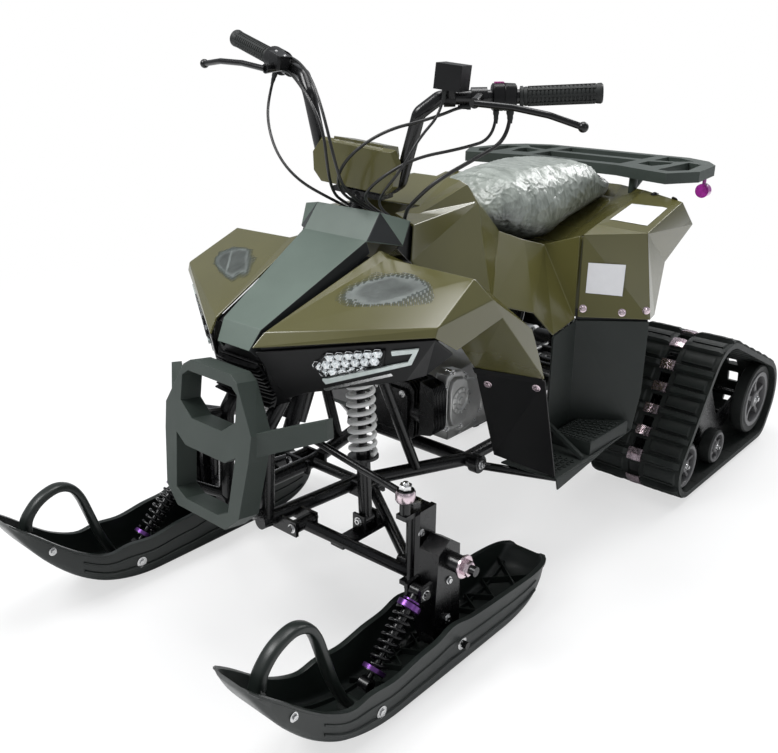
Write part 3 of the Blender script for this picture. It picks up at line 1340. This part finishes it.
def dotted_print(name, node, corners, across, deep, seed):
    """A grey print of dots on a panel, dense in the middle and thinning to its edge."""
    a, b, c, d = (mm(*p) for p in corners)
    grey, dark = Bag(), Bag()
    for i in range(across):
        for k in range(deep):
            u, v = (i + 0.5 + 0.5 * (k % 2)) / across, (k + 0.5) / deep
            wave = noise.noise(Vector((u * 5 + seed, v * 4, seed)))
            share = 1 - math.hypot((u - 0.5) * 2, (v - 0.5) * 2) + 0.22 * wave
            if share < 0.02:
                continue
            seat, normal = hit(node, a.lerp(b, u).lerp(d.lerp(c, u), v) + UP * RAY_DROP, -UP)
            side, up = frame_of(normal)
            size = 0.0005 + 0.0030 * min(1.0, share * 2.0)
            ring = [seat + (side * math.cos(t) + up * math.sin(t)) * size for t in around(6)]
            bag = grey if share > 0.28 or (i + k) % 3 == 0 else dark
            bag.slab(ring, normal, -0.0004, 0.0005)
    grey.made(name, "label_grey", "root", "wheel_grey", smooth=0)
    dark.made(name + "_edge", "trim", "root", "dark_matte", smooth=0)


def make_prints():
    left_print = [(74, -492, 562), (252, -420, 576), (234, -360, 602), (112, -372, 610)]
    right_print = [(-80, -494, 560), (-224, -450, 566), (-252, -392, 586), (-140, -388, 596)]
    dotted_print("left_fender_print", "left_front_fender", left_print, 46, 26, 1.7)
    dotted_print("right_fender_print", "right_front_fender", right_print, 46, 26, 5.2)
    top = [(218, 190, 620), (292, 200, 620), (288, 290, 640), (212, 290, 646)]
    patch("rear_top_label", "rear_fender", top, "label", "lens", UP, 16)
    wall = [(226, 109, 545), (283, 150, 545), (283, 147, 484), (226, 106, 488)]
    patch("rear_wall_label", "rear_fender", wall, "label", "lens", (0.583, -0.813, 0), 1)


make_prints()

SCREWS = (
    # node, place in mm on the left, direction that the head faces, size, finish
    ("rear_fender", (224, 103, 458), (0.583, -0.813, 0), 4.0, "zinc"),
    ("rear_fender", (285, 147, 453), (0.583, -0.813, 0), 4.0, "zinc"),
    ("rear_fender", (322, 174, 459), (0.583, -0.813, 0), 4.0, "zinc"),
    ("splash_guards", (196, -172, 370), (0.1, -0.93, -0.3), 4.0, "zinc"),
    ("splash_guards", (284, -162, 376), (0.1, -0.93, -0.3), 4.0, "zinc"),
    ("rear_fender", (226, 360, 650), (0, 0.1, 1), 4.5, "black"),
    ("rear_fender", (278, 345, 650), (0, 0.1, 1), 4.5, "black"),
)


def make_screws():
    bags = {}
    for node, place, direction, size, finish in SCREWS:
        for sign in SIDES.values():
            at = mm(sign * place[0], place[1], place[2])
            out = Vector((sign * direction[0], direction[1], direction[2])).normalized()
            seat, normal = hit(node, at + out * SCREW_DROP, -out)
            if (seat - at).length > SCREW_DROP - 0.001:
                continue
            bag = bags.setdefault(finish, Bag())
            bag.lathe(seat - normal * 0.0006, normal, [(size * 0.0019, 0), (size * 0.0019, 0.0014),
                                                       (size * 0.0015, 0.0022)], 28)
            bag.lathe(seat + normal * 0.0010, normal,
                      [(size * 0.00115, 0), (size * 0.00115, 0.0014), (size * 0.0009, 0.0027),
                       (size * 0.00045, 0.0030), (size * 0.00042, 0.0016)], 20)
    for finish, bag in bags.items():
        bag.made(f"body_screws_{finish}", finish, "root", "zinc", smooth=35)


make_screws()


# ---- footwells ----


FOOT_LEVEL, FOOT_LEVEL_ROOM = 0.197, 0.02  # studs only stand where the floor is this high
REAR_STEP_RISE = 0.026


def make_foot_floor(side):
    """The studded floor: a low front part, a cross ridge and a raised rear step."""
    sign = SIDES[side]
    node = f"{side}_footwell"
    studs = Bag()

    def floor_at(x, y):
        return hit(node, mm(sign * x, y, 250), -UP)[0]

    def stud_rows(zone, across, deep, lift):
        a, b, c, d = (Vector(corner) for corner in zone)
        for i in range(across):
            for k in range(deep):
                at = a.lerp(b, (i + 0.5) / across).lerp(d.lerp(c, (i + 0.5) / across), (k + 0.5) / deep)
                seat = floor_at(at.x, at.y)
                if abs(seat.z - FOOT_LEVEL) < FOOT_LEVEL_ROOM:
                    seat.z += lift
                    studs.lathe(seat - UP * 0.0005, UP, [(0.0046, 0), (0.0046, 0.0022), (0.0034, 0.0036),
                                                         (0.0026, 0.0036), (0.0024, 0.0008)], 8)

    step = ((224, 26), (308, 26), (317, 158), (230, 106))
    foot = [floor_at(x, y) for x, y in step]
    centre = sum(foot, Vector()) / 4
    rings = [[p - UP * 0.001 for p in foot], [p + UP * (REAR_STEP_RISE - 0.004) for p in foot],
             [p + (centre - p) * 0.03 + UP * REAR_STEP_RISE for p in foot]]
    studs.loft(rings)
    stud_rows(((200, -92), (292, -82), (300, -8), (212, -8)), 7, 6, 0)
    stud_rows(((228, 46), (306, 46), (312, 144), (234, 104)), 7, 6, REAR_STEP_RISE)
    stud_rows(((226, 28), (307, 28), (307, 38), (226, 38)), 11, 1, REAR_STEP_RISE)
    studs.loft([rib_slice(p, AHEAD, 0.006, 0.004, 0.007) for p in (floor_at(212, 6), floor_at(304, 6))])
    studs.made(f"{side}_foot_floor", "well", "root", "dark_matte", smooth=30)


for floor_side in SIDES:
    make_foot_floor(floor_side)


# ---- backing strips behind the seams ----

SEAM_STRIPS = (
    # four corners in mm on the left; the right ones mirror them
    ((54, -570, 497), (282, -428, 535), (284, -432, 552), (54, -572, 519)),
    ((38, -556, 522), (62, -560, 526), (98, -344, 612), (60, -346, 612)),
    ((212, 101, 428), (324, 183, 428), (322, 182, 456), (210, 100, 456)),
    ((110, -306, 668), (112, -286, 660), (114, -292, 600), (110, -322, 628)),
    ((44, -562, 482), (56, -570, 500), (84, -540, 420), (64, -552, 412)),
    ((176, -190, 404), (296, -152, 404), (296, -146, 392), (176, -182, 392)),
)
COVER_STRIP = ((184, 126, 592), (206, 134, 592), (222, 107, 440), (202, 97, 440))


def make_seam_strips():
    strips = Bag()
    for corners in SEAM_STRIPS:
        for sign in SIDES.values():
            ring = [mm(sign * x, y, z) for x, y, z in corners]
            normal = (ring[1] - ring[0]).cross(ring[3] - ring[0]).normalized()
            strips.slab(ring, normal, -0.0009, 0.0009)
    cover = Bag()
    for sign in SIDES.values():
        ring = [mm(sign * x, y, z) for x, y, z in COVER_STRIP]
        cover.slab(ring, AHEAD * -0.0016)
    cover.made("cover_seam_backing", "olive", "root", "olive_gloss", smooth=20)
    nose = [mm(-50, -570, 500), mm(50, -570, 500), mm(44, -564, 478), mm(-44, -564, 478)]
    strips.slab(nose, AHEAD * -0.002)
    strips.made("seam_backing", "black", "root", "black_plastic", smooth=20)


make_seam_strips()


# ---- frame fasteners ----


def make_frame_bolts():
    metal, dark = Bag(), Bag()
    for sign in SIDES.values():
        out = LEFT * sign
        end = mm(sign * 165, -135, 190)
        dark.lathe(end - out * 0.016, out, [(0.0185, 0), (0.0185, 0.0165), (0.0170, 0.0185),
                                            (0.009, 0.0185)], 32)
        metal.bolt(end + out * 0.0025, out, size=7, height=6)
        for y in (-530, -362):
            for step in (-1, 1):
                at = mm(sign * 93, y + step * 25.4, 205)
                metal.bolt(at, AHEAD * -step, size=6, height=3.6)
        for x, y, z in ((142, -432, 192), (120, -424, 474)):
            for step in (-1, 1):
                metal.bolt(mm(sign * x, y + step * 18.2, z), AHEAD * -step, size=6, height=4)
    metal.made("frame_bolts", "steel", "root", "zinc", smooth=30)
    dark.made("frame_tube_ends", "frame", "root", "frame_black", smooth=35)


make_frame_bolts()


# ---- handlebar controls ----

BAR_LEFT = (mm(140, -261.4, 862.2), mm(230.8, -178.5, 865.0), mm(336.8, -105.6, 872.4))
BAR_RIGHT = (mm(-104.5, -316.6, 888.0), mm(-219.4, -280.2, 912.4), mm(-342.5, -259.1, 943.9))


def make_grip(side):
    _, start, end = BAR_LEFT if side == "left" else BAR_RIGHT
    line = end - start
    length = line.length
    direction = line.normalized()
    start = start + direction * 0.002
    profile = [(0.0115, 0), (0.0158, 0.0008), (0.0158, 0.005), (0.0138, 0.0065)]
    at = 0.009
    while at < length - 0.016:
        profile += [(0.0146, at), (0.0146, at + 0.0030), (0.0134, at + 0.0040), (0.0134, at + 0.0052)]
        at += 0.0062
    profile += [(0.0152, length - 0.010), (0.0156, length - 0.0045), (0.0140, length - 0.002),
                (0.006, length - 0.002)]
    grip = Bag()
    grip.lathe(start, direction, profile, 32)
    across, up = frame_of(direction)
    for turn in around(8):
        ray = across * math.cos(turn) + up * math.sin(turn)
        middle = start + direction * length * 0.5 + ray * 0.0140
        grip.box(middle, direction * length * 0.40, direction.cross(ray) * 0.0016, ray * 0.0012)
    piece = grip.made(f"{side}_grip_rubber", "rubber", "steering", "rubber", smooth=32)
    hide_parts("handlebar_grips")


def make_switch_housing():
    start, end = BAR_LEFT[0].lerp(BAR_LEFT[1], 0.66), BAR_LEFT[0].lerp(BAR_LEFT[1], 0.97)
    direction = (end - start).normalized()
    across, up = frame_of(direction)
    if up.z < 0:
        up, across = -up, -across
    shell = Bag()

    def ring(at, wide, tall):
        centre = start + direction * at
        return [centre + across * wide * squared(math.cos(a), 0.6) + up * tall * squared(math.sin(a), 0.6)
                for a in around(28)]

    length = (end - start).length
    shell.loft([ring(0, 0.0165, 0.0175), ring(0.002, 0.0195, 0.0205), ring(length * 0.45, 0.0200, 0.0210),
                ring(length * 0.47, 0.0190, 0.0200), ring(length * 0.50, 0.0190, 0.0200),
                ring(length * 0.52, 0.0200, 0.0210), ring(length - 0.002, 0.0190, 0.0200),
                ring(length, 0.0160, 0.0170)])
    piece = shell.made("left_switch_case", "black", "steering", "black_plastic", smooth=35, bevel=0.4)
    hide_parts("left_switch_housing")
    button = Bag()
    centre = start + direction * length * 0.30 + up * 0.0205
    button.box(centre, direction * 0.0075, across * 0.0055, up * 0.0022)
    button.made("left_switch_button", "red", "steering", "black_plastic", smooth=30, bevel=0.8)
    keys = Bag()
    for share, reach in ((0.72, 0.0200), (0.30, 0.0195)):
        keys.box(start + direction * length * share - across * reach, direction * 0.0045, up * 0.006,
                 across * 0.0022)
    keys.made("left_switch_keys", "rubber", "steering", "rubber", smooth=30, bevel=0.6)


def make_perch(side):
    """The lever bracket's bolts and, on the right, the fluid box with its lid."""
    first, last, _ = BAR_LEFT if side == "left" else BAR_RIGHT
    centre = first.lerp(last, 0.5)
    direction = (last - first).normalized()
    ahead = (AHEAD - direction * direction.dot(AHEAD)).normalized()
    up = direction.cross(ahead).normalized()
    if up.z < 0:
        up = -up
    metal = Bag()
    for step in (-0.0075, 0.0075):
        metal.bolt(centre + direction * step - ahead * 0.0152, -ahead, size=2.8, height=3)
    metal.made(f"{side}_perch_bolts", "steel", "steering", "zinc", smooth=30)
    if side == "left":
        return
    box = Bag()
    cut_corners = ((-1, -0.7), (-0.8, -1), (0.8, -1), (1, -0.7), (1, 0.7), (0.8, 1), (-0.8, 1), (-1, 0.7))
    base = centre + ahead * 0.020 + up * 0.004 - direction * 0.006
    for low, high, wide, deep in ((-0.006, 0.0145, 0.0205, 0.0125), (0.0145, 0.0175, 0.0225, 0.0145)):
        rings = []
        for height in (low, high):
            rings.append([base + up * height + direction * wide * a + ahead * deep * b
                          for a, b in cut_corners])
        box.loft(rings)
    box.made("right_fluid_box", "black", "steering", "black_plastic", smooth=30, bevel=0.8)
    screws = Bag()
    for a in (-0.017, 0.017):
        screws.bolt(base + up * 0.0175 + direction * a, up, size=2.4, height=1.6)
    screws.made("right_fluid_box_screws", "steel", "steering", "zinc", smooth=30)


for grip_side in SIDES:
    make_grip(grip_side)
make_switch_housing()
for perch_side in SIDES:
    make_perch(perch_side)
